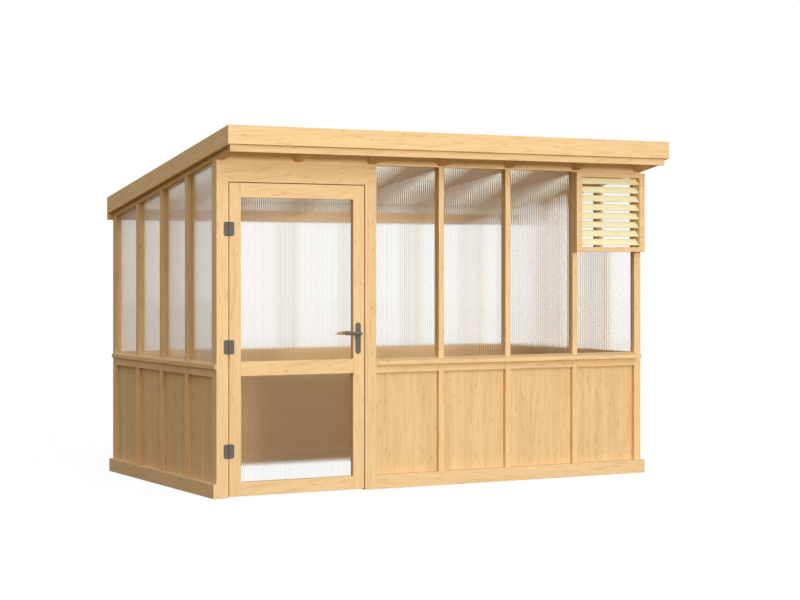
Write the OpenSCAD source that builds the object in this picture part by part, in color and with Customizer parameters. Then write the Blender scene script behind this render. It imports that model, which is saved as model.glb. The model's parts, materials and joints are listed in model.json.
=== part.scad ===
// Lean-to timber greenhouse: ground rails, posts, lower board panels, ribbed glazing,
// a louvred vent, a half-glazed ledged door and a roof that falls towards the back.
// Millimetres. X runs along the front, Y from the front to the back, Z up.
// The origin is on the ground, under the middle of the whole outline.

/* [Base] */
// Length of the base along the front
base_l = 3180; // [2700:10:3900]
// Depth of the base from front to back
base_d = 1830; // [1500:10:2300]
// Height of the ground rails
rail_h = 88; // [60:1:120]
// Thickness of the ground rails
rail_t = 80; // [70:1:100]
// How far the walls stand in from the outer faces of the ground rails
wall_inset = 20; // [12:1:40]

/* [Walls] */
// Height of the underside of the front wall plate
wall_h = 2040; // [1990:5:2500]
// Width of the posts between bays
post_w = 38; // [30:1:60]
// Depth of the posts, through the wall
post_t = 60; // [45:1:75]
// Side of the square corner posts
corner_w = 53; // [45:1:80]
// How much wider the bay beside the vent is than the other front bays
wide_bay_extra = 24; // [0:1:80]
// Height of the front wall plate
plate_h = 45; // [35:1:70]
// Set-back of the glazing and the lower panels behind the post faces
pane_set = 27; // [15:1:35]
// Thickness of the glazing sheets
pane_t = 10; // [4:1:16]
// Thickness of the lower board panels
panel_t = 16; // [9:1:22]

/* [Sills] */
// Height of the underside of the sills
sill_z = 781; // [600:1:1000]
// Thickness of a sill at its nose
sill_nose_t = 26; // [18:1:40]
// Thickness of a sill under the glazing
sill_back_t = 42; // [30:1:60]
// How far the front and back sills stand out from the posts
sill_nose = 34; // [25:1:60]
// How far the side sills stand out from the posts
side_sill_nose = 11; // [8:1:30]
// Corner cut at the ends of a front or back sill's nose
nose_cut = 18; // [5:1:20]
// Corner cut at the ends of a side sill's nose
side_nose_cut = 6; // [2:1:7]
// How far a front or back sill's nose stops short of the outer face of the corner post
sill_stop = 38; // [20:1:42]
// Height of the batten below the sills
batten_h = 50; // [30:1:80]
// Set-back of the batten behind the post faces
batten_set = 3; // [0:1:12]

/* [Doorway] */
// Width of the left casing board, and of the corner post behind it
casing_left_w = 78.5; // [55:0.5:110]
// Width of the right casing board, and of the door post behind it
casing_right_w = 80; // [55:0.5:110]
// Width of the door leaf
leaf_w = 919.5; // [700:0.5:1000]
// Height of the top of the door leaf above the ground
leaf_top = 1910.5; // [1700:0.5:1960]
// Clear height under the door leaf
leaf_floor_gap = 8; // [5:1:25]
// Clearance of the door leaf at its hinges and at its top
leaf_gap = 5; // [5:0.5:8]
// Clearance of the door leaf at its lock side, where its inner edge swings past the post
lock_gap = 6.5; // [6.5:0.5:10]
// Thickness of the door leaf
leaf_t = 40; // [34:1:48]
// Depth of the door stops
stop_t = 15; // [10:1:20]
// Width of the door stops
stop_w = 18; // [12:1:30]

/* [Door] */
// Width of the door stiles
stile_w = 77; // [60:1:100]
// Height of the top and middle rails of the door
door_rail_h = 89; // [60:1:120]
// Height of the bottom rail of the door
door_foot_h = 84; // [60:1:160]
// Height of the underside of the middle rail of the door above the ground
mid_rail_z = 736; // [600:1:1000]

/* [Door furniture] */
// Width of an open hinge
hinge_w = 69; // [50:1:100]
// Height of a hinge
hinge_h = 87; // [60:1:120]
// Thickness of a hinge leaf
hinge_t = 2.5; // [1.5:0.1:4]
// Radius of a hinge leaf's outer corners
hinge_corner_r = 13; // [2:1:15]
// Radius of a hinge knuckle
knuckle_r = 5.5; // [4:0.1:8]
// Height of the top hinge's middle
hinge_top_z = 1630; // [1400:5:1800]
// Height of the middle hinge's middle
hinge_mid_z = 914; // [850:5:1000]
// Height of the bottom hinge's middle
hinge_low_z = 283; // [150:5:500]
// Width of the handle plate
plate_w = 35; // [30:1:50]
// Height of the handle plate
plate_tall = 195; // [150:1:240]
// Thickness of the handle plate
plate_t = 6; // [3:0.5:10]
// How far the middle of the handle plate lies below the lever's axis
plate_drop = 29.5; // [0:0.5:60]
// Height of the lever's axis
lever_z = 984; // [900:1:1100]
// Length of the lever from its axis
lever_l = 113; // [90:1:130]
// How far the lever's grip stands from the face of the door
lever_out = 52; // [40:1:70]
// Radius of the lever's grip
grip_r = 9; // [6:0.5:12]

/* [Roof] */
// Slope of the roof in degrees
roof_slope = 9.8; // [6:0.1:15]
// Overhang of the roof in front of the front posts, to the face of the front fascia
eave_out = 277.6; // [200:1:400]
// Overhang of the roof at each side wall, to the face of the side fascia
verge_out = 35; // [24:1:60]
// Thickness of the fascias
fascia_t = 22; // [16:1:30]
// Height of the front and side fascias
fascia_h = 113; // [90:1:150]
// Height of the plate on the back posts
back_plate_h = 74; // [60:1:85]
// Height of the back fascia, the board outside the back plate
back_fascia_h = 76; // [60:1:90]
// Thickness of the rafters
rafter_w = 47; // [38:1:60]
// Depth of the rafters, measured upright
rafter_h = 122; // [100:1:150]
// How far the top of the roof sheets lies below the top of the fascias
sheet_drop = 12; // [10:1:25]
// How far the roof sheets reach beyond the back wall, past the back fascia
sheet_over = 30; // [28:1:34]
// Thickness of the roof sheets
sheet_t = 10; // [6:1:16]
// Clearance between pieces that meet on the slope of the roof
slope_gap = 0.1; // [0.05:0.05:0.5]
// Depth of the notch that seats a rafter on the front plate
seat_cut = 37; // [20:1:45]
// Depth of the notch that seats a rafter on the back plate, at the plate's back
back_seat_cut = 62; // [50:1:70]
// How far the eave board hangs below the front fascia
eave_board_drop = 44; // [30:1:60]
// Width of the bars that clamp the roof sheets
roof_bar_w = 40; // [30:1:45]
// Gap between two roof sheets, under a bar
sheet_gap = 6; // [4:1:12]

/* [Vent] */
// Height of the underside of the vent box
vent_z = 1503; // [1200:1:1600]
// Gap between the top of the vent box and the front plate
vent_top_gap = 4; // [2:1:20]
// How far the vent box stands out from the posts
vent_out = 51; // [45:1:70]
// Width of the sides of the vent box
vent_side_w = 45; // [30:1:50]
// Height of the top and bottom of the vent box
vent_rail_h = 32; // [20:1:45]
// Width of a louvre slat, from edge to edge
slat_w = 56; // [40:1:60]
// Thickness of a louvre slat
slat_t = 7; // [5:1:10]
// Height between two louvre slats
slat_pitch = 58.5; // [54:0.5:80]
// Tilt of the louvre slats in degrees
slat_tilt = 45; // [42:1:50]
// Height of the lowest slat's edge above the bottom of the vent box
slat_foot = 44; // [40:1:80]

/* [Hidden] */

// Positions that follow from a division or a slope are kept to a tenth of a millimetre
function tenth(v) = round(v * 10) / 10;

// Roof plane: the height of the fascia tops at a distance y from the front of the base
fall = tan(roof_slope);
wall_y = wall_inset;
plate_seat = plate_h - seat_cut;
roof_h_at_wall = wall_h + plate_seat + rafter_h + slope_gap + sheet_t + sheet_drop;
function roof_z(y) = roof_h_at_wall - fall * (y - wall_y);
function sheet_low(y) = roof_z(y) - sheet_drop - sheet_t;
function rafter_top(y) = sheet_low(y) - slope_gap;
function rafter_low(y) = rafter_top(y) - rafter_h;

// Walls: left, right and back faces, and the inner edge of each corner post
left_x = wall_inset;
right_x = base_l - wall_inset;
back_y = base_d - wall_inset;
corner_lx = right_x - corner_w;
corner_fy = wall_y + corner_w;
corner_by = back_y - corner_w;

// Doorway
leaf_x0 = left_x + casing_left_w + leaf_gap;
leaf_x1 = leaf_x0 + leaf_w;
door_post_x0 = leaf_x1 + lock_gap;
door_post_x1 = door_post_x0 + casing_right_w;
door_head_z = leaf_top + leaf_gap;

// Front bays: three posts between the door post and the corner post
front_bay = (corner_lx - door_post_x1 - 3 * post_w - wide_bay_extra) / 4;
front_post_x = [tenth(door_post_x1 + front_bay), tenth(door_post_x1 + 2 * front_bay + post_w),
    tenth(corner_lx - front_bay - post_w)];
front_bays = [[door_post_x1, front_post_x[0]], [front_post_x[0] + post_w, front_post_x[1]],
    [front_post_x[1] + post_w, front_post_x[2]], [front_post_x[2] + post_w, corner_lx]];

// Side bays: three posts between the corner posts
side_bay = (corner_by - corner_fy - 3 * post_w) / 4;
side_post_y = [for (i = [1:3]) tenth(corner_fy + i * side_bay + (i - 1) * post_w)];
side_bays = [for (i = [0:3]) [i == 0 ? corner_fy : side_post_y[i - 1] + post_w,
    i == 3 ? corner_by : side_post_y[i]]];

// Rafters: one over the door, one at the door post and one over each front post
end_rafter_w = post_t;
rafter_at_post_x = door_post_x1 - rafter_w;
rafter_over_door_x = tenth((left_x + end_rafter_w + rafter_at_post_x - rafter_w) / 2);
rafter_x = concat([rafter_over_door_x, rafter_at_post_x],
    [for (x = front_post_x) x + (post_w - rafter_w) / 2]);

// Back bays: the back posts stand under the rafters
back_corner_x = left_x + corner_w;
back_post_x = [for (x = rafter_x) x + (rafter_w - post_w) / 2];
back_bays = [for (i = [0:5]) [i == 0 ? back_corner_x : back_post_x[i - 1] + post_w,
    i == 5 ? corner_lx : back_post_x[i]]];
back_plate_z = tenth(rafter_low(back_y)) + back_seat_cut - back_plate_h;
back_plate_z1 = back_plate_z + back_plate_h;

// The gaps between the rafters, along the front
rafter_edges = concat([left_x + end_rafter_w], [for (x = rafter_x) each [x, x + rafter_w]],
    [right_x - end_rafter_w]);
rafter_gaps = [for (i = [0:2:len(rafter_edges) - 2]) [rafter_edges[i], rafter_edges[i + 1]]];

// The front notch of a rafter clears the plate and the door header, whichever is deeper
seat_t = max(post_t, corner_w);

// Roof edges
eave_y = wall_y - eave_out;
fascia_back_y = eave_y + fascia_t;
eave_board_y1 = fascia_back_y + fascia_t;
verge_x0 = left_x - verge_out;
verge_x1 = right_x + verge_out;
roof_x0 = verge_x0 + fascia_t;
roof_x1 = verge_x1 - fascia_t;
fascia_low_z = roof_z(eave_y) - fascia_h;
eave_board_z0 = fascia_low_z - eave_board_drop;
back_fascia_y = back_y + fascia_t;
sheet_end_y = back_y + sheet_over;

// Underside of the battens, and foot of the glazing
batten_z = sill_z - batten_h;
sill_top = sill_z + sill_back_t;

// Vent box
vent_x0 = front_post_x[2];
vent_x1 = right_x;
vent_z1 = wall_h - vent_top_gap;
vent_y = wall_y - vent_out;
slat_x0 = vent_x0 + vent_side_w;
slat_x1 = vent_x1 - vent_side_w;
slat_y = wall_y - slat_w * cos(slat_tilt);
slat_rise = slat_w * sin(slat_tilt) + slat_t * cos(slat_tilt);
slat_n = floor((vent_z1 - vent_rail_h - slat_rise - vent_z - slat_foot) / slat_pitch) + 1;

// Door furniture
pin_x = leaf_x0 - leaf_gap / 2;
pin_y = -knuckle_r;
knuckle_gap = 0.6;
hinge_z = [hinge_low_z, hinge_mid_z, hinge_top_z];
lever_x = leaf_x1 - stile_w / 2 - 6;
lever_neck_r = 8;
lever_neck_gap = 0.5;
spindle_r = 4;
spindle_gap = 0.5;

// Outline of the whole, for the origin
mid_x = base_l / 2;
mid_y = (eave_y + back_y + sill_nose) / 2;

module placed() translate([-mid_x, -mid_y, 0]) children();

// Wall coordinates: X runs along a wall and its outer face is at y = 0. The left wall runs towards -Y
module on_front() translate([0, wall_y, 0]) children();
module on_left() translate([left_x, 0, 0]) rotate([0, 0, -90]) children();
module on_right() translate([right_x, 0, 0]) rotate([0, 0, 90]) children();
module on_back() translate([0, back_y, 0]) rotate([0, 0, 180]) children();

// A straight board between two corners
module board(a, b) translate(a) cube(b - a);

// A prism that runs along X, from an outline in Y and Z
module along_x(x0, x1, outline)
    translate([x0, 0, 0]) rotate([90, 0, 90]) linear_extrude(x1 - x0) polygon(outline);

module base_front() placed() color("burlywood")
    board([door_post_x1, 0, 0], [base_l, rail_t, rail_h]);

module base_left() placed() color("tan") {
    board([0, wall_y, 0], [rail_t, base_d, rail_h]);
    board([0, 0, 0], [left_x, wall_y + 1, rail_h]);
}

module base_right() placed() color("tan")
    board([base_l - rail_t, rail_t, 0], [base_l, base_d, rail_h]);

module base_back() placed() color("tan")
    board([rail_t, base_d - rail_t, 0], [base_l - rail_t, base_d, rail_h]);

// The front-left corner post is as wide as the casing, and the door hangs on it
module corner_posts() placed() color("burlywood") {
    board([left_x, wall_y, rail_h], [left_x + casing_left_w, corner_fy, wall_h]);
    if (left_x + casing_left_w > rail_t)
        board([rail_t, wall_y, 0], [left_x + casing_left_w, corner_fy, rail_h + 1]);
    board([corner_lx, wall_y, rail_h], [right_x, corner_fy, wall_h]);
    for (x = [left_x, corner_lx])
        board([x, corner_by, rail_h], [x + corner_w, back_y, back_plate_z]);
}

module front_posts() placed() color("burlywood") {
    board([door_post_x0, wall_y, 0], [door_post_x1, wall_y + post_t, wall_h]);
    for (x = front_post_x)
        board([x, wall_y, rail_h], [x + post_w, wall_y + post_t, wall_h]);
}

// A side post ends on the slope of the end rafter
module side_posts() placed() color("tan")
    for (x = [left_x, right_x - post_t], y = side_post_y)
        along_x(x, x + post_t, [[y, rail_h], [y + post_w, rail_h],
            [y + post_w, rafter_low(y + post_w) - slope_gap], [y, rafter_low(y) - slope_gap]]);

module back_posts() placed() color("tan")
    for (x = back_post_x)
        board([x, back_y - post_t, rail_h], [x + post_w, back_y, back_plate_z]);

module door_header() placed() color("burlywood")
    board([left_x + casing_left_w, wall_y, door_head_z], [door_post_x0, corner_fy, wall_h]);

module door_stops() placed() color("burlywood") {
    y0 = leaf_t + leaf_gap;
    z1 = door_head_z;
    x0 = left_x + casing_left_w;
    x1 = door_post_x0;
    board([x0, y0, leaf_floor_gap], [x0 + stop_w, y0 + stop_t, z1]);
    board([x1 - stop_w, y0, leaf_floor_gap], [x1, y0 + stop_t, z1]);
    board([x0, y0, z1 - stop_w], [x1, y0 + stop_t, z1]);
}

module casing_left() placed() color("burlywood")
    board([left_x, 0, 0], [left_x + casing_left_w, wall_y, door_head_z]);

module casing_right() placed() color("burlywood")
    board([door_post_x0, 0, 0], [door_post_x1, wall_y, door_head_z]);

module casing_top() placed() color("burlywood")
    board([left_x, 0, door_head_z], [door_post_x1, wall_y, wall_h]);

// The spans of a wall's bays or posts, for a wall whose coordinates run the other way
function turned(spans) = [for (s = spans) [-s[1], -s[0]]];

// A sill in wall coordinates, as deep as a corner post and notched round the posts
module sill(x0, x1, posts, nose, cut)
    difference() {
        along_x(x0, x1, [[-nose, sill_z], [corner_w, sill_z], [corner_w, sill_top],
            [pane_set, sill_top], [-nose, sill_z + sill_nose_t]]);
        for (p = posts)
            board([p[0], 0, sill_z - 1], [p[1], corner_w + 1, sill_top + 1]);
        nose_corner(x0, 1, nose, cut);
        nose_corner(x1, -1, nose, cut);
    }

// The slanting cut at one end of a sill's nose
module nose_corner(x, side, nose, cut)
    translate([x, -nose, sill_z - 1]) linear_extrude(sill_back_t + 2)
        polygon([[-side, -1], [side * (cut + 1), -1], [-side, cut + 1]]);

// The spans of the posts along each wall, with the corner posts
front_post_spans = concat([for (x = front_post_x) [x, x + post_w]], [[corner_lx, right_x]]);
side_post_spans = concat([[-1, corner_fy]], [for (y = side_post_y) [y, y + post_w]],
    [[corner_by, back_y + 1]]);
back_post_spans = concat([[left_x, back_corner_x]], [for (x = back_post_x) [x, x + post_w]],
    [[corner_lx, right_x]]);

module front_sill() placed() color("navajowhite")
    on_front() sill(door_post_x1, right_x - sill_stop, front_post_spans, sill_nose, nose_cut);

// The left sill starts at the face of the casing, and the right one at the face of the wall
module side_sills() placed() color("tan") {
    on_left() sill(-back_y, 0, turned(side_post_spans), side_sill_nose, side_nose_cut);
    on_right() sill(wall_y, back_y, side_post_spans, side_sill_nose, side_nose_cut);
}

module back_sill() placed() color("tan")
    on_back() sill(sill_stop - right_x, -left_x - sill_stop, turned(back_post_spans), sill_nose, nose_cut);

// The boards below the sill in each bay, in wall coordinates
module panels(bays)
    for (b = bays) board([b[0], pane_set, rail_h], [b[1], pane_set + panel_t, sill_z]);

// The batten in front of the boards in each bay, close under the sill
module battens(bays)
    for (b = bays) board([b[0], batten_set, batten_z], [b[1], pane_set, sill_z]);

module front_panels() placed() color("burlywood") on_front() panels(front_bays);

module side_panels() placed() color("tan") {
    on_left() panels(turned(side_bays));
    on_right() panels(side_bays);
}

module back_panels() placed() color("tan") on_back() panels(turned(back_bays));

module front_battens() placed() color("burlywood") on_front() battens(front_bays);

module side_battens() placed() color("tan") {
    on_left() battens(turned(side_bays));
    on_right() battens(side_bays);
}

module back_battens() placed() color("tan") on_back() battens(turned(back_bays));

// In the vent's bay the glazing stops under the vent box
module front_glazing() placed() color([0.9, 0.92, 0.9, 0.5])
    for (i = [0:3])
        board([front_bays[i][0], wall_y + pane_set, sill_top],
            [front_bays[i][1], wall_y + pane_set + pane_t, i == 3 ? vent_z : wall_h]);

module side_glazing() placed() color([0.9, 0.92, 0.9, 0.5])
    for (x = [left_x + pane_set, right_x - pane_set - pane_t], b = side_bays)
        along_x(x, x + pane_t, [[b[0], sill_top], [b[1], sill_top], [b[1], rafter_low(b[1]) - slope_gap],
            [b[0], rafter_low(b[0]) - slope_gap]]);

// Above the back plate, narrow sheets close the gaps between the rafters
module back_glazing() placed() color([0.9, 0.92, 0.9, 0.5]) {
    y0 = back_y - pane_set - pane_t;
    y1 = back_y - pane_set;
    for (b = back_bays)
        board([b[0], y0, sill_top], [b[1], y1, back_plate_z]);
    for (g = rafter_gaps)
        along_x(g[0], g[1],
            [[y0, back_plate_z1], [y1, back_plate_z1], [y1, rafter_top(y1)], [y0, rafter_top(y0)]]);
}

module front_plate() placed() color("burlywood")
    board([left_x + end_rafter_w, wall_y, wall_h],
        [right_x - end_rafter_w, wall_y + post_t, wall_h + plate_h]);

module back_plate() placed() color("tan")
    board([left_x + end_rafter_w, back_y - post_t, back_plate_z],
        [right_x - end_rafter_w, back_y, back_plate_z1]);

// Outline of a rafter in Y and Z, from the eave board to the back of the wall
rafter_outline = [[eave_board_y1, rafter_low(eave_board_y1)], [back_y, rafter_low(back_y)],
    [back_y, rafter_top(back_y)], [eave_board_y1, rafter_top(eave_board_y1)]];

// The end rafters lie on the corner posts and close the tops of the side walls
module end_rafters() placed() color("tan")
    for (x = [left_x, right_x - end_rafter_w])
        difference() {
            union() {
                along_x(x, x + end_rafter_w, rafter_outline);
                board([x, wall_y, wall_h - 1], [x + end_rafter_w, corner_fy, wall_h + plate_h]);
                board([x, corner_by, back_plate_z], [x + end_rafter_w, back_y, back_plate_z1]);
            }
            board([x - 1, wall_y - 1, wall_h - rafter_h], [x + end_rafter_w + 1, corner_fy, wall_h]);
        }

module rafters() placed() color("tan")
    for (x = rafter_x)
        difference() {
            along_x(x, x + rafter_w, rafter_outline);
            board([x - 1, wall_y, wall_h - rafter_h], [x + rafter_w + 1, wall_y + seat_t, wall_h + plate_h]);
            board([x - 1, back_y - post_t, back_plate_z - 1], [x + rafter_w + 1, back_y + 1, back_plate_z1]);
        }

// Boards between the rafters close the wall above the front plate
module eave_blocking() placed() color("tan")
    for (g = rafter_gaps)
        along_x(g[0], g[1], [[wall_y, wall_h + plate_h], [wall_y + fascia_t, wall_h + plate_h],
            [wall_y + fascia_t, rafter_top(wall_y + fascia_t)], [wall_y, rafter_top(wall_y)]]);

module eave_board() placed() color("wheat")
    along_x(roof_x0, roof_x1, [[fascia_back_y, eave_board_z0], [eave_board_y1, eave_board_z0],
        [eave_board_y1, rafter_top(eave_board_y1)], [fascia_back_y, rafter_top(fascia_back_y)]]);

module fascia_front() placed() color("moccasin")
    board([verge_x0, eave_y, fascia_low_z], [verge_x1, fascia_back_y, roof_z(eave_y)]);

// The back fascia lies below the roof sheets, and passes under the ends of the side fascias
module fascia_back() placed() color("tan")
    difference() {
        board([verge_x0, back_y, back_plate_z1 - back_fascia_h], [verge_x1, back_fascia_y, back_plate_z1]);
        for (x = [[verge_x0 - 1, roof_x0], [roof_x1, verge_x1 + 1]])
            board([x[0], back_y - 1, roof_z(back_fascia_y) - fascia_h - slope_gap],
                [x[1], back_fascia_y + 1, back_plate_z1 + 1]);
    }

module side_fascias() placed() color("tan")
    for (x = [verge_x0, roof_x1])
        along_x(x, x + fascia_t, [[fascia_back_y, roof_z(fascia_back_y) - fascia_h],
            [back_fascia_y, roof_z(back_fascia_y) - fascia_h], [back_fascia_y, roof_z(back_fascia_y)],
            [fascia_back_y, roof_z(fascia_back_y)]]);

// How far a roof bar lies below the top of the fascias, and short of them
bar_set = 2;

// Three sheets lie on the rafters, and meet over the door post and the middle front post
sheet_joints = [rafter_x[1] + rafter_w / 2, rafter_x[3] + rafter_w / 2];

module roof_sheets() placed() color([0.85, 0.85, 0.82, 0.6]) {
    starts = [roof_x0, sheet_joints[0] + sheet_gap / 2, sheet_joints[1] + sheet_gap / 2];
    ends = [sheet_joints[0] - sheet_gap / 2, sheet_joints[1] - sheet_gap / 2, roof_x1];
    for (i = [0:2])
        along_x(starts[i], ends[i],
            [[fascia_back_y, sheet_low(fascia_back_y)], [sheet_end_y, sheet_low(sheet_end_y)],
             [sheet_end_y, sheet_low(sheet_end_y) + sheet_t],
             [fascia_back_y, sheet_low(fascia_back_y) + sheet_t]]);
}

module roof_bars() placed() color("tan") {
    y0 = fascia_back_y + bar_set;
    y1 = sheet_end_y - bar_set;
    for (x = rafter_x)
        along_x(x + (rafter_w - roof_bar_w) / 2, x + (rafter_w + roof_bar_w) / 2,
            [[y0, sheet_low(y0) + sheet_t + slope_gap], [y1, sheet_low(y1) + sheet_t + slope_gap],
             [y1, roof_z(y1) - bar_set], [y0, roof_z(y0) - bar_set]]);
}

module vent_frame() placed() color("navajowhite")
    difference() {
        board([vent_x0, vent_y, vent_z], [vent_x1, wall_y, vent_z1]);
        board([slat_x0, vent_y - 1, vent_z + vent_rail_h], [slat_x1, wall_y + 1, vent_z1 - vent_rail_h]);
    }

// Slats fall outwards, and end in the sides of the vent box
module vent_slats() placed() color("moccasin")
    for (i = [0:slat_n - 1])
        translate([slat_x0, slat_y, vent_z + slat_foot + i * slat_pitch]) rotate([slat_tilt, 0, 0])
            cube([slat_x1 - slat_x0, slat_w, slat_t]);

// One leaf of a hinge, flat on the wood at one side of the pin, with its knuckles counted from below
module hinge_leaf(z, side, knuckles) {
    inner = side * (knuckle_r + knuckle_gap);
    outer = side * hinge_w / 2;
    low = z - hinge_h / 2;
    translate([pin_x, 0, low]) rotate([90, 0, 0]) linear_extrude(hinge_t) hull() {
        translate([min(inner, inner + side), 0]) square([1, hinge_h]);
        for (y = [hinge_corner_r, hinge_h - hinge_corner_r])
            translate([outer - side * hinge_corner_r, y]) circle(r = hinge_corner_r, $fn = 32);
    }
    knuckle_h = hinge_h / 3 - knuckle_gap;
    for (k = knuckles)
        translate([pin_x, pin_y, low + k * hinge_h / 3 + knuckle_gap / 2]) {
            cylinder(h = knuckle_h, r = knuckle_r, $fn = 32);
            translate([side > 0 ? 0 : inner - 1, knuckle_r - hinge_t, 0])
                cube([knuckle_r + knuckle_gap + 1, hinge_t, knuckle_h]);
        }
}

module hinge_jamb_leaves() placed() color("dimgray")
    for (z = hinge_z) hinge_leaf(z, -1, [0, 2]);

module hinge_door_leaves() placed() color("dimgray")
    for (z = hinge_z) hinge_leaf(z, 1, [1]);

// The lock stile is bored for the lever's spindle
module door_stiles() placed() color("burlywood")
    difference() {
        for (x = [leaf_x0, leaf_x1 - stile_w])
            board([x, 0, leaf_floor_gap], [x + stile_w, leaf_t, leaf_top]);
        translate([lever_x, -1, lever_z]) rotate([-90, 0, 0])
            cylinder(h = leaf_t + 2, r = spindle_r + spindle_gap, $fn = 48);
    }

module door_rails() placed() color("burlywood") {
    x0 = leaf_x0 + stile_w;
    x1 = leaf_x1 - stile_w;
    board([x0, 0, leaf_floor_gap], [x1, leaf_t, leaf_floor_gap + door_foot_h]);
    board([x0, 0, mid_rail_z], [x1, leaf_t, mid_rail_z + door_rail_h]);
    board([x0, 0, leaf_top - door_rail_h], [x1, leaf_t, leaf_top]);
}

module door_panes() placed() color([0.9, 0.92, 0.9, 0.5]) {
    x0 = leaf_x0 + stile_w;
    x1 = leaf_x1 - stile_w;
    board([x0, pane_set, leaf_floor_gap + door_foot_h], [x1, pane_set + pane_t, mid_rail_z]);
    board([x0, pane_set, mid_rail_z + door_rail_h], [x1, pane_set + pane_t, leaf_top - door_rail_h]);
}

// A plate with round ends, flat on one face of the lock stile
module handle_plate(y0)
    difference() {
        translate([lever_x, y0 + plate_t, lever_z - plate_drop]) rotate([90, 0, 0])
            linear_extrude(plate_t) {
                square([plate_w, plate_tall - plate_w], center = true);
                for (s = [-1, 1])
                    translate([0, s * (plate_tall - plate_w) / 2]) circle(r = plate_w / 2, $fn = 48);
            }
        translate([lever_x, y0 - 1, lever_z]) rotate([-90, 0, 0])
            cylinder(h = plate_t + 2, r = lever_neck_r + lever_neck_gap, $fn = 48);
    }

module handle_plates() placed() color("dimgray") {
    handle_plate(-plate_t);
    handle_plate(leaf_t);
}

// Both levers turn together on one spindle
module lever_set() placed() color("gray") {
    grip_y = lever_out - grip_r;
    translate([lever_x, 0, lever_z]) rotate([-90, 0, 0])
        cylinder(h = leaf_t, r = spindle_r, $fn = 32);
    for (y = [-grip_y, leaf_t])
        translate([lever_x, y, lever_z]) rotate([-90, 0, 0])
            cylinder(h = grip_y, r = lever_neck_r, $fn = 32);
    for (y = [-grip_y, leaf_t + grip_y])
        translate([lever_x + grip_r, y, lever_z]) rotate([0, -90, 0])
            cylinder(h = lever_l + grip_r, r = grip_r, $fn = 32);
}

base_front();
base_left();
base_right();
base_back();
corner_posts();
front_posts();
side_posts();
back_posts();
door_header();
door_stops();
casing_left();
casing_right();
casing_top();
front_sill();
side_sills();
back_sill();
front_panels();
side_panels();
back_panels();
front_battens();
side_battens();
back_battens();
front_glazing();
side_glazing();
back_glazing();
front_plate();
back_plate();
end_rafters();
rafters();
eave_blocking();
eave_board();
fascia_front();
fascia_back();
side_fascias();
roof_sheets();
roof_bars();
vent_frame();
vent_slats();
hinge_jamb_leaves();
door_stiles();
door_rails();
door_panes();
hinge_door_leaves();
handle_plates();
lever_set();
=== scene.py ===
# %% [markdown]
# # A timber greenhouse with ribbed sheets
# The building is planed pine on ground rails: posts, sills, board panels and a roof that falls
# to the back. Its windows are hollow plastic sheets with upright ribs.
# The sizes come from the frame, so this lesson adds only what a cutting list leaves out:
# eased arrises, single boards, grain and knots, ribs, screws, a shaped lever, and the light.

# %% Load the frame
import math
import random

import bmesh
import bpy
from mathutils import Matrix, Vector
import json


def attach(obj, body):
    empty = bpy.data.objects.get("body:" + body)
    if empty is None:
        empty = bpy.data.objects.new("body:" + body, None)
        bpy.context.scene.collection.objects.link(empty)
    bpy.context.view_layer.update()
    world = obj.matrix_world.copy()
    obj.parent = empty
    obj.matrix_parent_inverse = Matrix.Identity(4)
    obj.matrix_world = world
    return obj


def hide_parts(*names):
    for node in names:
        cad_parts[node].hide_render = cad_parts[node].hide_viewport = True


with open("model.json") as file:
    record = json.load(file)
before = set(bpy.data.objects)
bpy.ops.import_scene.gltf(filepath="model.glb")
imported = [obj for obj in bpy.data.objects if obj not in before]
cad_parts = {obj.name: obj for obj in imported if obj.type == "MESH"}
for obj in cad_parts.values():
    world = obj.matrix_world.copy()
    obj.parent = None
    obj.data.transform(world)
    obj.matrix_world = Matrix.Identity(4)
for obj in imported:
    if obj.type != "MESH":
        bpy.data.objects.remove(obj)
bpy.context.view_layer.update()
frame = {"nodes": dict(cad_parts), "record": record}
nodes = frame["nodes"]
body_of = {n: body for body, members in frame["record"]["behaviour"]["bodies"].items() for n in members}

# %% [markdown]
# ## Measures
# Everything below is in metres. A millimetre helper keeps a joiner's sizes readable, and one
# seeded random source makes each run the same. A new piece rides on a body of the frame, so
# that it moves with the door or the lever.

# %% Small helpers
MM = 0.001
chance = random.Random(7)


def new_piece(name, mesh, body):
    """A new object for a mesh, riding on a body."""
    piece = bpy.data.objects.new(name, mesh)
    bpy.context.scene.collection.objects.link(piece)
    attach(piece, body)
    return piece


def mesh_from(bm, name):
    """Turns a bmesh into a mesh and frees it."""
    mesh = bpy.data.meshes.new(name)
    bm.to_mesh(mesh)
    bm.free()
    return mesh


def low_corner(bm):
    return Vector([min(v.co[i] for v in bm.verts) for i in range(3)])


def high_corner(bm):
    return Vector([max(v.co[i] for v in bm.verts) for i in range(3)])


print("helpers ready for", len(nodes), "nodes")

# %% [markdown]
# ## Single boards
# A node such as the side posts holds several boards in one mesh of triangles. A bevel modifier
# could soften them all in one go, but it works badly on triangles, and each board needs grain
# of its own. So a node is parted into its solids, the triangles of each flat face are melted
# into one face, and every sharp edge gets the small flat that a joiner planes on it.

# %% Part and ease the boards
WELD_GAP = 0.02 * MM
FLAT_ANGLE = math.radians(0.5)
SHARP_ANGLE = math.radians(20)


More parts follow.
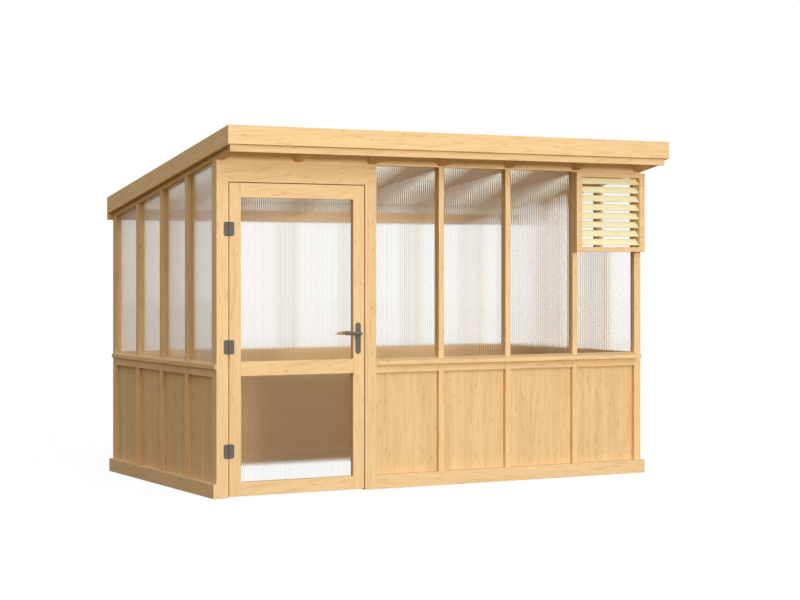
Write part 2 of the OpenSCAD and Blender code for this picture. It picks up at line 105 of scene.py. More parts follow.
def solids_of(node):
    """The separate solids of a CAD node, each as a clean bmesh with flat faces in one piece.

    Dictionaries stand in for sets here, because they keep the mesh's own order on every run.
    """
    whole = bmesh.new()
    whole.from_mesh(nodes[node].data)
    bmesh.ops.remove_doubles(whole, verts=whole.verts, dist=WELD_GAP)
    left = dict.fromkeys(whole.verts)
    found = []
    while left:
        reached = [next(iter(left))]
        del left[reached[0]]
        for v in reached:
            for e in v.link_edges:
                w = e.other_vert(v)
                if w in left:
                    del left[w]
                    reached.append(w)
        solid = bmesh.new()
        copies = {v: solid.verts.new(v.co) for v in reached}
        for f in dict.fromkeys(f for v in reached for f in v.link_faces):
            solid.faces.new([copies[v] for v in f.verts])
        bmesh.ops.dissolve_limit(solid, angle_limit=FLAT_ANGLE, verts=solid.verts, edges=solid.edges)
        solid.normal_update()
        found.append(solid)
    whole.free()
    found.sort(key=lambda s: tuple(round(c, 4) for c in low_corner(s)))
    return found


def ease_arrises(bm, width):
    """Planes a small flat on every sharp edge, as a joiner eases an arris."""
    sharp = [e for e in bm.edges if len(e.link_faces) == 2 and e.calc_face_angle(0) > SHARP_ANGLE]
    bmesh.ops.bevel(bm, geom=sharp, offset=width, segments=1, profile=0.5, affect="EDGES",
                    clamp_overlap=True)


def join(boards, name):
    """Joins several bmeshes into one mesh, keeping their attributes."""
    whole = bmesh.new()
    for board in boards:
        part = bpy.data.meshes.new("part")
        board.to_mesh(part)
        board.free()
        whole.from_mesh(part)
        bpy.data.meshes.remove(part)
    return mesh_from(whole, name)


print("edges that turn more than", round(math.degrees(SHARP_ANGLE)), "degrees get an eased arris")

# %% [markdown]
# ## Grain that follows each board
# Wood grain runs along a board, whichever way the board lies, and no two boards match.
# A texture in world space would run straight through every joint. So each board carries its own
# coordinates: along the grain, and two across it measured from the heart of the tree,
# which lies somewhere outside the board. They are stored as a vector attribute named grain,
# and a second attribute named tone makes one board a little paler or darker than the next.

# %% Grain coordinates
HEART_DISTANCE = (0.05, 0.13)
TRUNK_LENGTH = 60
NEARLY_UPRIGHT = 0.3


def along_direction(bm):
    """The direction of the longest edge of a solid: the way its grain runs."""
    longest = max(bm.edges, key=lambda e: e.calc_length())
    d = longest.verts[1].co - longest.verts[0].co
    d.normalize()
    return d


def lay_grain(bm, direction):
    """Writes the grain and tone attributes on one board whose grain runs along a direction."""
    layer = bm.verts.layers.float_vector.new("grain")
    tone_layer = bm.verts.layers.float.new("tone")
    side = direction.cross(Vector((0, 0, 1)))
    if side.length < NEARLY_UPRIGHT:
        side = Vector((1, 0, 0))
    side.normalize()
    through = direction.cross(side)
    middle = (low_corner(bm) + high_corner(bm)) / 2
    turn = chance.uniform(0, 2 * math.pi)
    distance = chance.uniform(*HEART_DISTANCE)
    heart = middle + side * math.cos(turn) * distance + through * math.sin(turn) * distance
    start = chance.uniform(0, TRUNK_LENGTH)
    tone = chance.uniform(-1, 1)
    for v in bm.verts:
        p = v.co - heart
        v[layer] = Vector((start + p.dot(direction), p.dot(side), p.dot(through)))
        v[tone_layer] = tone


print("each board starts somewhere on a trunk of", TRUNK_LENGTH, "metres")

# %% [markdown]
# ## Node groups
# Two effects serve many materials, so each is a shader node group with named sockets:
# Pine Grain for all the timber, and Sheet Ribs for all the hollow sheets.
# A node tree could be clicked together by hand, but a written one is easier to read and repeat.
# A short helper adds the nodes, so that a group reads as a list of steps.

# %% Node helpers
class Steps:
    """Adds nodes to a tree, each wired from numbers or from sockets of earlier ones."""

    def __init__(self, tree):
        self.tree = tree

    def node(self, kind, inputs=(), **settings):
        n = self.tree.nodes.new(kind)
        for key, value in settings.items():
            setattr(n, key, value)
        for key, value in dict(inputs).items():
            self.put(value, n.inputs[key])
        return n

    def put(self, value, socket):
        if isinstance(value, bpy.types.NodeSocket):
            self.tree.links.new(value, socket)
        else:
            socket.default_value = value

    def math(self, operation, a, b=0.0, c=0.0):
        n = self.node("ShaderNodeMath", operation=operation)
        self.put(a, n.inputs[0])
        self.put(b, n.inputs[1])
        self.put(c, n.inputs[2])
        return n.outputs[0]

    def distance(self, x, y):
        """How far a point lies from the middle, when it is x one way and y the other."""
        return self.math("SQRT", self.math("ADD", self.math("POWER", x, 2.0), self.math("POWER", y, 2.0)))

    def blend(self, share, a, b, blend_type="MIX"):
        """Mixes two colours. A Mix node has its colours at inputs 6 and 7 and at output 2."""
        n = self.node("ShaderNodeMix", data_type="RGBA", blend_type=blend_type, clamp_factor=True)
        self.put(share, n.inputs[0])
        self.put(a, n.inputs[6])
        self.put(b, n.inputs[7])
        return n.outputs[2]

    def vector(self, x, y, z):
        n = self.node("ShaderNodeCombineXYZ", {"X": x, "Y": y, "Z": z})
        return n.outputs[0]

    def ramp(self, value, low, high, from_value=0.0, to_value=1.0):
        n = self.node("ShaderNodeMapRange", {"Value": value, "From Min": low, "From Max": high,
                                             "To Min": from_value, "To Max": to_value},
                      interpolation_type="SMOOTHSTEP")
        return n.outputs[0]

    def noise(self, vector, scale, detail=2.0):
        n = self.node("ShaderNodeTexNoise", {"Vector": vector, "Scale": scale, "Detail": detail})
        return n.outputs[0]


def new_group(name, takes, gives):
    """A shader node group with named sockets. takes holds (name, kind, value) and gives (name, kind)."""
    group = bpy.data.node_groups.new(name, "ShaderNodeTree")
    for socket_name, kind, value in takes:
        s = group.interface.new_socket(name=socket_name, in_out="INPUT", socket_type=kind)
        s.default_value = value
    for socket_name, kind in gives:
        group.interface.new_socket(name=socket_name, in_out="OUTPUT", socket_type=kind)
    steps = Steps(group)
    return group, steps, steps.node("NodeGroupInput").outputs, steps.node("NodeGroupOutput").inputs


print("node helpers ready")

# %% [markdown]
# ### Pine Grain
# A trunk is a stack of yearly cones, and a board is a cut through them. Rings measured from the
# heart give straight lines on one face, arches on another and arcs on the end, with no extra work.
# Small knots and resin streaks are drawn out along the grain. They are laid out by length and by
# the sum of the two cross measures, since one of those stands still on each face of a board.
# A wood image could do all this, but it would repeat, and it would stretch where boards differ
# in length. Noise that is stretched along the grain gives the rest: broad bands, which show best
# from a distance, short dashes and fine fibre.

# %% Build Pine Grain
KNOT_CELL_SHAPE = 0.42
KNOT_LEAN = 0.5
WANDER = 0.09
DASH_WAVE = 12 * MM
FIBRE_SHARE = 0.10
HALO_SHARE = 0.16
BOARD_CONTRAST = 0.03


def pine_grain_group():
    group, s, takes, gives = new_group(
        "Pine Grain",
        [("Grain", "NodeSocketVector", (0, 0, 0)),
         ("Tone", "NodeSocketFloat", 0.0),
         ("Pale Wood", "NodeSocketColor", (0.84, 0.58, 0.30, 1)),
         ("Late Wood", "NodeSocketColor", (0.66, 0.38, 0.16, 1)),
         ("Knot Wood", "NodeSocketColor", (0.42, 0.21, 0.07, 1)),
         ("Ring Width", "NodeSocketFloat", 9 * MM),
         ("Ring Strength", "NodeSocketFloat", 0.25),
         ("Band Strength", "NodeSocketFloat", 0.35),
         ("Dash Strength", "NodeSocketFloat", 0.45),
         ("Streak Length", "NodeSocketFloat", 0.15),
         ("Streak Share", "NodeSocketFloat", 0.7),
         ("Streak Strength", "NodeSocketFloat", 0.4)],
        [("Color", "NodeSocketColor"), ("Height", "NodeSocketFloat"), ("Roughness", "NodeSocketFloat")])
    along, across, through = s.node("ShaderNodeSeparateXYZ", {"Vector": takes["Grain"]}).outputs
    sideways = s.math("ADD", across, through)

    def stretched(along_scale, side_scale, detail, sway=0.0):
        """Noise drawn out along the grain, with its scales in waves a metre."""
        x, y = [s.math("MULTIPLY", s.math("ADD", side, sway), side_scale) for side in (across, through)]
        return s.noise(s.vector(s.math("MULTIPLY", along, along_scale), x, y), 1.0, detail)

    # Small knots and streaks, one to a cell: the long ones are thin, and each leans a little
    cell_width = s.math("MULTIPLY", takes["Streak Length"], KNOT_CELL_SHAPE)
    place = s.vector(s.math("DIVIDE", along, takes["Streak Length"]),
                     s.math("DIVIDE", sideways, cell_width), 0.0)
    cells = s.node("ShaderNodeTexVoronoi", {"Vector": place, "Scale": 1.0}, voronoi_dimensions="2D")
    luck = s.node("ShaderNodeSeparateColor", {"Color": cells.outputs["Color"]}).outputs
    centre = s.node("ShaderNodeSeparateXYZ", {"Vector": cells.outputs["Position"]}).outputs
    off_along = s.math("SUBTRACT", along, s.math("MULTIPLY", centre[0], takes["Streak Length"]))
    off_side = s.math("SUBTRACT", sideways, s.math("MULTIPLY", centre[1], cell_width))
    lean = s.math("MULTIPLY_ADD", luck[2], KNOT_LEAN, -KNOT_LEAN / 2)
    off_side = s.math("MULTIPLY_ADD", off_along, lean, off_side)
    half_length = s.math("MULTIPLY_ADD", luck[1], 24 * MM, 7 * MM)
    half_width = s.math("MULTIPLY_ADD", luck[1], -1.5 * MM, 4.2 * MM)
    reach = s.distance(s.math("DIVIDE", off_along, half_length), s.math("DIVIDE", off_side, half_width))
    present = s.math("LESS_THAN", luck[0], takes["Streak Share"])
    streak = s.math("MULTIPLY", s.ramp(reach, 1.3, 0.5), present)
    halo = s.math("MULTIPLY", s.ramp(reach, 4.0, 0.6), present)

    # Rings round a heart that wanders slowly along the trunk, pushed aside a little by a knot
    drift = s.noise(s.vector(s.math("MULTIPLY", along, 0.9), 0.0, 3.7), 1.0)
    drift = s.math("MULTIPLY_ADD", drift, WANDER, -WANDER / 2)
    span = s.distance(s.math("ADD", across, drift), through)
    waver = stretched(along_scale=1.6, side_scale=14.0, detail=3.0)
    phase = s.math("ADD", s.math("DIVIDE", span, takes["Ring Width"]),
                   s.math("MULTIPLY_ADD", waver, 3.0, s.math("MULTIPLY", halo, 0.5)))
    year = s.math("FRACT", phase)
    late = s.math("MULTIPLY", s.ramp(year, 0.25, 0.92), s.ramp(year, 1.0, 0.93))
    uneven = s.noise(s.vector(s.math("MULTIPLY", along, 0.8), s.math("FLOOR", phase), 0.0), 1.0)
    ring = s.math("MULTIPLY", s.math("MULTIPLY", late, s.ramp(uneven, 0.25, 0.75)), takes["Ring Strength"])

    # Broad bands, dashes that sway with the grain, and fine fibre
    band = stretched(along_scale=1.7, side_scale=24.0, detail=3.0)
    sway = s.noise(s.vector(s.math("MULTIPLY", along, 6.0), sideways, 1.3), 1.0)
    dash = stretched(along_scale=5.0, side_scale=95.0, detail=2.0, sway=s.math("MULTIPLY", sway, DASH_WAVE))
    fibre = stretched(along_scale=60.0, side_scale=1500.0, detail=1.0)

    # The colours, laid one over the other
    tone = s.math("MULTIPLY", s.ramp(band, 0.3, 0.75), takes["Band Strength"])
    dashes = s.math("MULTIPLY", s.ramp(dash, 0.52, 0.66), takes["Dash Strength"])
    wood = s.blend(s.math("MAXIMUM", ring, tone), takes["Pale Wood"], takes["Late Wood"])
    wood = s.blend(dashes, wood, takes["Late Wood"])
    wood = s.blend(s.math("MULTIPLY", s.ramp(fibre, 0.45, 0.85), FIBRE_SHARE), wood, takes["Late Wood"])
    wood = s.blend(s.math("MULTIPLY", halo, HALO_SHARE), wood, takes["Late Wood"])
    wood = s.blend(s.math("MULTIPLY", streak, takes["Streak Strength"]), wood, takes["Knot Wood"])
    board = s.math("MULTIPLY_ADD", takes["Tone"], BOARD_CONTRAST, 1.0)
    grey = s.node("ShaderNodeCombineColor", {"Red": board, "Green": board, "Blue": board})
    s.put(s.blend(1.0, wood, grey.outputs[0], "MULTIPLY"), gives["Color"])
    s.put(s.math("MULTIPLY_ADD", fibre, 0.3, s.math("MULTIPLY", late, 0.7)), gives["Height"])
    s.put(s.math("MULTIPLY_ADD", late, -0.10, s.math("MULTIPLY_ADD", streak, -0.12, 0.62)),
          gives["Roughness"])
    return group


pine_grain = pine_grain_group()
print("group:", pine_grain.name, "with", len(pine_grain.nodes), "nodes")

# %% [markdown]
# ### Sheet Ribs
# A hollow sheet has two skins joined by thin upright webs. Each channel between two webs is a
# shallow lens that smears what lies behind it sideways, and each web dims a thin line of it.
# Modelling every channel would cost a great deal of mesh for a few millimetres of depth, so
# the lens is worked out instead: the slope of a sine wave tips the surface normal along the
# sheet, one way on the near face and the other way on the far face. The web is a mask, and
# each channel also gets a chance tone, as no two channels are quite alike.

# %% Build Sheet Ribs
RIB_PITCH = 14 * MM


def sheet_ribs_group():
    group, s, takes, gives = new_group(
        "Sheet Ribs",
        [("Across", "NodeSocketFloat", 0.0),
         ("Axis", "NodeSocketVector", (1, 0, 0)),
         ("Far Face", "NodeSocketFloat", 0.0),
         ("Pitch", "NodeSocketFloat", RIB_PITCH),
         ("Slope", "NodeSocketFloat", 0.2),
         ("Web Share", "NodeSocketFloat", 0.16)],
        [("Normal", "NodeSocketVector"), ("Web", "NodeSocketFloat"), ("Channel Tone", "NodeSocketFloat")])
    count = s.math("DIVIDE", takes["Across"], takes["Pitch"])
    place = s.math("FRACT", count)

    # The lens
    slope = s.math("MULTIPLY", s.math("COSINE", s.math("MULTIPLY", place, 2 * math.pi)), takes["Slope"])
    side = s.math("MULTIPLY_ADD", takes["Far Face"], 2.0, -1.0)
    world_axis = s.node("ShaderNodeVectorTransform", {"Vector": takes["Axis"]}, vector_type="VECTOR",
                        convert_from="OBJECT", convert_to="WORLD")
    tip = s.node("ShaderNodeVectorMath", {0: world_axis.outputs[0]}, operation="SCALE")
    s.put(s.math("MULTIPLY", slope, side), tip.inputs["Scale"])
    straight = s.node("ShaderNodeNewGeometry").outputs["Normal"]
    leaning = s.node("ShaderNodeVectorMath", {0: straight, 1: tip.outputs[0]}, operation="ADD")
    s.put(s.node("ShaderNodeVectorMath", {0: leaning.outputs[0]}, operation="NORMALIZE").outputs[0],
          gives["Normal"])

    # The web and the tone of the channel
    off_web = s.math("ABSOLUTE", s.math("SUBTRACT", place, 0.5))
    s.put(s.ramp(off_web, s.math("SUBTRACT", 0.5, takes["Web Share"]), 0.5), gives["Web"])
    channel = s.node("ShaderNodeTexWhiteNoise", {"W": s.math("FLOOR", count)}, noise_dimensions="1D")
    s.put(channel.outputs["Value"], gives["Channel Tone"])
    return group


sheet_ribs = sheet_ribs_group()
print("group:", sheet_ribs.name, "with", len(sheet_ribs.nodes), "nodes")

# %% [markdown]
# ## Timber finishes
# The timber is planed and clear-oiled, so it has a soft sheen and hardly any relief. One colour
# per kind would look like painted board. Instead each kind of timber places Pine Grain with its
# own pale and late wood: the frame is warm; the panels have stronger bands and a deeper colour,
# which is painted shade for the shade low under the sills; and the louvre slats have a paler
# colour, which is painted light for the light that their upward faces catch.

# %% Timber materials
WOOD_RELIEF = 0.12 * MM
WOOD_SHEEN = 0.15


def blank_material(name):
    """A material with nothing in it yet, its node helper, and the socket that takes its shader."""
    material = bpy.data.materials.new(name)
    material.use_nodes = True
    tree = material.node_tree
    tree.nodes.clear()
    return material, Steps(tree), tree.nodes.new("ShaderNodeOutputMaterial").inputs["Surface"]


def timber_material(name, pale, late, **strengths):
    """Pine Grain with its own colours. Each strength is named after a socket, as in band_strength."""
    material, s, surface = blank_material(name)
    wood = s.node("ShaderNodeGroup", node_tree=pine_grain)
    s.put(s.node("ShaderNodeAttribute", attribute_name="grain").outputs["Vector"], wood.inputs["Grain"])
    s.put(s.node("ShaderNodeAttribute", attribute_name="tone").outputs["Fac"], wood.inputs["Tone"])
    wood.inputs["Pale Wood"].default_value = (*pale, 1)
    wood.inputs["Late Wood"].default_value = (*late, 1)
    for key, value in strengths.items():
        wood.inputs[key.replace("_", " ").title()].default_value = value
    bump = s.node("ShaderNodeBump",
                  {"Height": wood.outputs["Height"], "Distance": WOOD_RELIEF, "Strength": 0.6})
    shader = s.node("ShaderNodeBsdfPrincipled",
                    {"Base Color": wood.outputs["Color"], "Roughness": wood.outputs["Roughness"],
                     "Normal": bump.outputs[0], "Specular IOR Level": WOOD_SHEEN})
    s.put(shader.outputs[0], surface)
    return material


frame_pine = timber_material("frame pine", (0.87, 0.615, 0.33), (0.70, 0.43, 0.19), streak_length=0.20)
# painted shade: the panels' pine is deeper than the frame's, for the shade low under the sills; the stronger
# bands are the wood's own
panel_pine_painted_shade = timber_material("panel pine painted shade", (0.82, 0.575, 0.30), (0.67, 0.425, 0.19), band_strength=0.5)
# painted light: the slats' pine is paler than the frame's, for the light that their upward faces catch
slat_pine_painted_light = timber_material("slat pine painted light", (0.91, 0.87, 0.585), (0.85, 0.76, 0.43), streak_strength=0.15)
print("timber:", frame_pine.name, panel_pine_painted_shade.name, slat_pine_painted_light.name)

# %% [markdown]
# ## Sheet finishes
# The sheets must be seen through, and must let the lamps light the room behind them. Thin
# see-through paint would do for that, but it could not smear what lies behind each channel as
# the real sheet does. So the sheet truly refracts, with the rippled normal of Sheet Ribs. For
# shadow and bounce rays it is a plain tinted opening, and the room stays bright and free of noise.
# The lines of the webs are drawn on the outer skin alone, because a second set on the inner
# skin would beat against the first.
# The roof sheet is the same with a share of opal, which scatters daylight.

# %% Sheet materials
CHANNEL_LINE, WEB_LINE = 0.2, 0.8


def rib_lines(s, ribs):
    """How much line tint a sheet shows: some in a channel and most at a web, on the outer skin."""
    web = s.math("MULTIPLY", ribs.outputs["Web"], WEB_LINE)
    lines = s.math("MULTIPLY_ADD", ribs.outputs["Channel Tone"], CHANNEL_LINE, web)
    coords = s.node("ShaderNodeTexCoord").outputs
    outward = s.node("ShaderNodeVectorMath", {0: coords["Normal"], 1: coords["Object"]},
                     operation="DOT_PRODUCT").outputs["Value"]
    entering = s.math("SUBTRACT", 1.0, s.node("ShaderNodeNewGeometry").outputs["Backfacing"])
    outer = s.math("MULTIPLY", s.math("GREATER_THAN", outward, 0.0), entering)
    return s.math("MULTIPLY", lines, outer)


def sheet_material(name, axis, tint, line_tint, slope, blur, bend, passes, opal=0.0, opal_tint=None):
    """A ribbed sheet whose ribs repeat along an axis: passes is the tint of the light let through."""
    material, s, surface = blank_material(name)
    place = s.node("ShaderNodeSeparateXYZ", {"Vector": s.node("ShaderNodeTexCoord").outputs["Object"]})
    ribs = s.node("ShaderNodeGroup", node_tree=sheet_ribs)
    s.put(place.outputs[axis], ribs.inputs["Across"])
    ribs.inputs["Axis"].default_value = [1.0 if a == axis else 0.0 for a in "XYZ"]
    s.put(s.node("ShaderNodeNewGeometry").outputs["Backfacing"], ribs.inputs["Far Face"])
    ribs.inputs["Slope"].default_value = slope
    sheet = s.node("ShaderNodeBsdfPrincipled",
                   {"Base Color": s.blend(rib_lines(s, ribs), (*tint, 1), (*line_tint, 1)),
                    "Roughness": blur, "IOR": bend, "Transmission Weight": 1.0,
                    "Normal": ribs.outputs["Normal"]})
    if opal:
        scatter = s.node("ShaderNodeBsdfTranslucent", {"Color": (*opal_tint, 1)})
        sheet = s.node("ShaderNodeMixShader", {0: opal, 1: sheet.outputs[0], 2: scatter.outputs[0]})
    ray = s.node("ShaderNodeLightPath").outputs
    open_to = s.math("MAXIMUM", ray["Is Shadow Ray"], ray["Is Diffuse Ray"])
    opening = s.node("ShaderNodeBsdfTransparent", {"Color": (*passes, 1)})
    whole = s.node("ShaderNodeMixShader", {0: open_to, 1: sheet.outputs[0], 2: opening.outputs[0]})
    s.put(whole.outputs[0], surface)
    return material


wall_sheet = {axis: sheet_material("wall sheet " + axis, axis, tint=(1.0, 0.998, 0.985),
                                   line_tint=(0.78, 0.77, 0.74), slope=slope, blur=0.06, bend=1.45,
                                   passes=(0.96, 0.955, 0.94))
              for axis, slope in (("X", 0.18), ("Y", 0.23))}
roof_sheet = sheet_material("roof sheet", "X", tint=(0.95, 0.92, 0.84), line_tint=(0.84, 0.80, 0.72),
                            slope=0.15, blur=0.08, bend=1.12, passes=(0.76, 0.725, 0.65),
                            opal=0.5, opal_tint=(0.98, 0.93, 0.82))
print("sheets:", [m.name for m in wall_sheet.values()], roof_sheet.name)

# %% [markdown]
# ## Metal finishes
# The hinges, the plates and the outer lever are steel with a matt dark paint. The inner lever
# is bare brass, and the screws in the roof are bare steel. One even colour would look like
# plastic, so the paint gets faint clouds and a fine skin, and the bare metals get clouds that
# dull them unevenly, as hands and weather do.

# %% Metal materials
PAINT_SKIN = 0.08 * MM


def painted_metal(name, colour, roughness):
    material, s, surface = blank_material(name)
    place = s.node("ShaderNodeTexCoord").outputs["Object"]
    skin = s.noise(place, 900.0, 3.0)
    cloud = s.noise(place, 30.0, 2.0)
    bump = s.node("ShaderNodeBump", {"Height": skin, "Distance": PAINT_SKIN, "Strength": 0.5})
    worn = [c * 1.35 for c in colour]
    shade = s.blend(s.ramp(cloud, 0.35, 0.7, 0.0, 0.25), (*colour, 1), (*worn, 1))
    shader = s.node("ShaderNodeBsdfPrincipled",
                    {"Base Color": shade, "Roughness": roughness, "Normal": bump.outputs[0]})
    s.put(shader.outputs[0], surface)
    return material


def bare_metal(name, colour, roughness):
    material, s, surface = blank_material(name)
    cloud = s.noise(s.node("ShaderNodeTexCoord").outputs["Object"], 60.0, 3.0)
    dulled = [c * 0.75 for c in colour]
    shade = s.blend(s.ramp(cloud, 0.3, 0.7, 0.0, 0.5), (*colour, 1), (*dulled, 1))
    shader = s.node("ShaderNodeBsdfPrincipled",
                    {"Base Color": shade, "Metallic": 1.0,
                     "Roughness": s.ramp(cloud, 0.3, 0.7, roughness, roughness + 0.12)})
    s.put(shader.outputs[0], surface)
    return material


dark_paint = painted_metal("dark paint", (0.135, 0.13, 0.11), 0.5)
brass = bare_metal("brass", (0.80, 0.60, 0.22), 0.28)
screw_steel = bare_metal("screw steel", (0.55, 0.55, 0.53), 0.35)
print("metal:", dark_paint.name, brass.name, screw_steel.name)

# %% [markdown]
# ## Timber
# The posts, rails, sills, rafters and the door's own frame are all sawn and planed bars. Their
# shape is right in the frame already, so no bar is built anew: each timber node is copied solid
# by solid, every solid gets eased arrises and its own grain, and the result stands for the node.
# The louvre slats take a paler copy of the pine: the paleness is painted light, for the light
# that their upward faces catch.

# %% Timber pieces
ARRIS = 1.2 * MM
PANELS = [n for n in nodes if n.endswith("_panels")]
SHEETS = [n for n in nodes if n.endswith("_glazing")] + ["door_panes", "roof_sheets"]
FITTINGS = ["hinge_jamb_leaves", "hinge_door_leaves", "handle_plates", "lever_set"]
TIMBER = [n for n in nodes if n not in PANELS + SHEETS + FITTINGS]


def timber_piece(node):
    """The boards of one node, eased and grained. Gives the number of faces."""
    boards = solids_of(node)
    for board in boards:
        direction = along_direction(board)
        ease_arrises(board, ARRIS)
        lay_grain(board, direction)
    mesh = join(boards, node + "_timber")
    # the slats take the pine with painted light, made paler for the light on their upward faces
    mesh.materials.append(slat_pine_painted_light if node == "vent_slats" else frame_pine)
    piece = new_piece(node + "_timber", mesh, body_of[node])
    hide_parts(node)
    return len(mesh.polygons)


print("timber faces:", {node: timber_piece(node) for node in sorted(TIMBER)})

# %% [markdown]
# ## Lower panels
# Each panel is glued up from upright strips of pine, planed flush, so the joints hardly show.
# What shows is that the strips differ a little in grain and in tone. Lines painted on one slab
# would give the joints but not the grain, so each bay is cut into strips of chance widths.

# %% Panel pieces
STRIP_WIDTHS = (38, 78)
LEAST_STRIP = 30 * MM
UPRIGHT = Vector((0, 0, 1))


def box_solid(low, high):
    """A plain block between two corners."""
    bm = bmesh.new()
    bmesh.ops.create_cube(bm, size=1.0)
    for v in bm.verts:
        v.co = Vector([low[i] if v.co[i] < 0 else high[i] for i in range(3)])
    bm.normal_update()
    return bm


def panel_piece(node):
    """The glued strips of each bay of one wall. Gives the number of strips."""
    strips = []
    for bay in solids_of(node):
        low, high = low_corner(bay), high_corner(bay)
        bay.free()
        run = 0 if high.x - low.x > high.y - low.y else 1
        at = low[run]
        while at < high[run]:
            end = at + chance.uniform(*STRIP_WIDTHS) * MM
            if high[run] - end < LEAST_STRIP:
                end = high[run]
            a, b = low.copy(), high.copy()
            a[run], b[run] = at, end
            strip = box_solid(a, b)
            lay_grain(strip, UPRIGHT)
            strips.append(strip)
            at = end
    count = len(strips)
    mesh = join(strips, node + "_strips")
    # the strips take the pine with painted shade, made deeper for the shade under the sills
    mesh.materials.append(panel_pine_painted_shade)
    piece = new_piece(node + "_strips", mesh, body_of[node])
    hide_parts(node)
    return count


print("panel strips:", {node: panel_piece(node) for node in PANELS})

# %% [markdown]
# ## Sheets
# Each bay is closed by one hollow sheet, cut to the posts. The sheets keep their CAD shape and
# take a ribbed material. The ribs stand upright, so on the side walls they repeat along Y, and
# elsewhere along X. Above the back plate, short strips of the roof sheet close the gaps between
# the rafters. They share a node with the back panes, so that node is parted in two pieces.

# %% Sheet pieces
def finish(node, material):
    """Gives a node of the frame its material, with no new mesh."""
    mesh = nodes[node].data
    mesh.materials.clear()
    mesh.materials.append(material)


def back_panes():
    """The back sheets: clear below the plate, and strips of the roof sheet above it."""
    sheets = solids_of("back_glazing")
    split = max(low_corner(sheet).z for sheet in sheets)
    above = [sheet for sheet in sheets if low_corner(sheet).z > split - MM]
    below = [sheet for sheet in sheets if low_corner(sheet).z <= split - MM]
    for name, part, material, slot in (("back_panes", below, wall_sheet["X"], "ribbed_sheet"),
                                       ("back_strips", above, roof_sheet, "roof_sheet")):
        mesh = join(part, name)
        mesh.materials.append(material)
        piece = new_piece(name, mesh, body_of["back_glazing"])
        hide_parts("back_glazing")
    return len(below), len(above)


for node in ("front_glazing", "door_panes"):
    finish(node, wall_sheet["X"])
finish("side_glazing", wall_sheet["Y"])
finish("roof_sheets", roof_sheet)
print("sheets finished:", len(SHEETS), "back panes and strips:", back_panes())

# %% [markdown]
# ## Hinges and plates
# The hinge leaves and the handle plates are pressed steel. They keep their CAD outline, since
# the barrel and the leaves are already there, and only their sharp edges are softened, which
# is what catches the light on painted metal.

# %% Hinge and plate pieces
PRESSED_EDGE = 0.6 * MM


def softened_piece(node):
    """One metal node with softened edges. Gives the number of faces."""
    parts = solids_of(node)
    for part in parts:
        ease_arrises(part, PRESSED_EDGE)
    mesh = join(parts, node + "_painted")
    mesh.materials.append(dark_paint)
    piece = new_piece(node + "_painted", mesh, body_of[node])
    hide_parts(node)
    return len(mesh.polygons)


for node in ("hinge_jamb_leaves", "hinge_door_leaves", "handle_plates"):
    print(node, "faces:", softened_piece(node))

# %% [markdown]
# ## Screw heads
# A countersunk screw shows a low dome with a cross recess. A bump could fake it, but a screw
# stands out against its plate in a close view and in the mesh itself, so each head is built
# from rings of points: four for the dome, and one for the floor of the recess, whose points
# reach out at the arms of the cross and stay in between them.

# %% Build a screw head
HEAD_SIDES = 20
HEAD_RINGS = ((1.0, -0.3), (1.0, 0.12), (0.86, 0.26), (0.5, 0.36))
RECESS_HEIGHT = 0.08
CROSS_ARM, CROSS_WAIST = 0.44, 0.14


def round_angles(count):
    """Evenly spaced angles round a full turn."""
    return [2 * math.pi * k / count for k in range(count)]


def skin_between(bm, rings):
    """Faces between rings that have the same number of points."""
    count = len(rings[0])
    for one, two in zip(rings, rings[1:]):
        for k in range(count):
            bm.faces.new([one[k], one[(k + 1) % count], two[(k + 1) % count], two[k]])


def screw_heads(name, body, places, out, radius, material):
    """Low domed heads with a cross recess, at places on a face whose outward direction is out."""
    turn = out.to_track_quat("Z", "Y").to_matrix().to_4x4()
    heads = bmesh.new()

    def ring(place, reaches, height):
        """One ring of a head, with its reaches and its height as shares of the radius."""
        stand = Matrix.Translation(place) @ turn
        return [heads.verts.new(stand @ Vector((radius * reach * math.cos(a), radius * reach * math.sin(a),
                                                radius * height)))
                for reach, a in zip(reaches, round_angles(HEAD_SIDES))]

    quarter = HEAD_SIDES // 4
    cross = [CROSS_ARM if k % quarter < 2 else CROSS_WAIST for k in range(HEAD_SIDES)]
    for place in places:
        rings = [ring(place, [reach] * HEAD_SIDES, height) for reach, height in HEAD_RINGS]
        rings.append(ring(place, cross, RECESS_HEIGHT))
        skin_between(heads, rings)
        heads.faces.new(rings[-1])
        heads.faces.new(list(reversed(rings[0])))
    mesh = mesh_from(heads, name)
    mesh.materials.append(material)
    new_piece(name, mesh, body)
    return len(places)


print("a screw head has", HEAD_SIDES * len(HEAD_RINGS) + 2, "faces")

# %% [markdown]
# ## Screws in the hinges and plates
# Each hinge leaf has three screws down the middle of its flat, beside the knuckle, and each
# handle plate has one near each end. Their places are worked out from the leaf or the plate,
# so they stay right if the fittings change size.

# %% Hinge and plate screws
KNUCKLE = 8 * MM
ON_FACE = 0.2 * MM
LEAF_INSET = 2.5 * MM
LEAF_SCREW_SHARES = (0.18, 0.5, 0.82)
PLATE_SCREW_INSET = 14 * MM
LEAF_SCREW_RADIUS, PLATE_SCREW_RADIUS = 3.6 * MM, 3.2 * MM


def leaf_screws(node, body):
    """Three screws down each leaf, in the middle of its flat."""
    places = []
    for leaf in solids_of(node):
        low, high = low_corner(leaf), high_corner(leaf)
        flat = [v.co for v in leaf.verts if abs(v.co.y - high.y) < ON_FACE]
        x0, x1 = min(c.x for c in flat), max(c.x for c in flat)
        x = (x0 + x1 - KNUCKLE) / 2 if node == "hinge_jamb_leaves" else (x0 + x1 + KNUCKLE) / 2
        y = high.y - LEAF_INSET
        places += [Vector((x, y, low.z + (high.z - low.z) * share)) for share in LEAF_SCREW_SHARES]
        leaf.free()
    return screw_heads(node + "_screws", body, places, Vector((0, -1, 0)), LEAF_SCREW_RADIUS,
                       dark_paint)


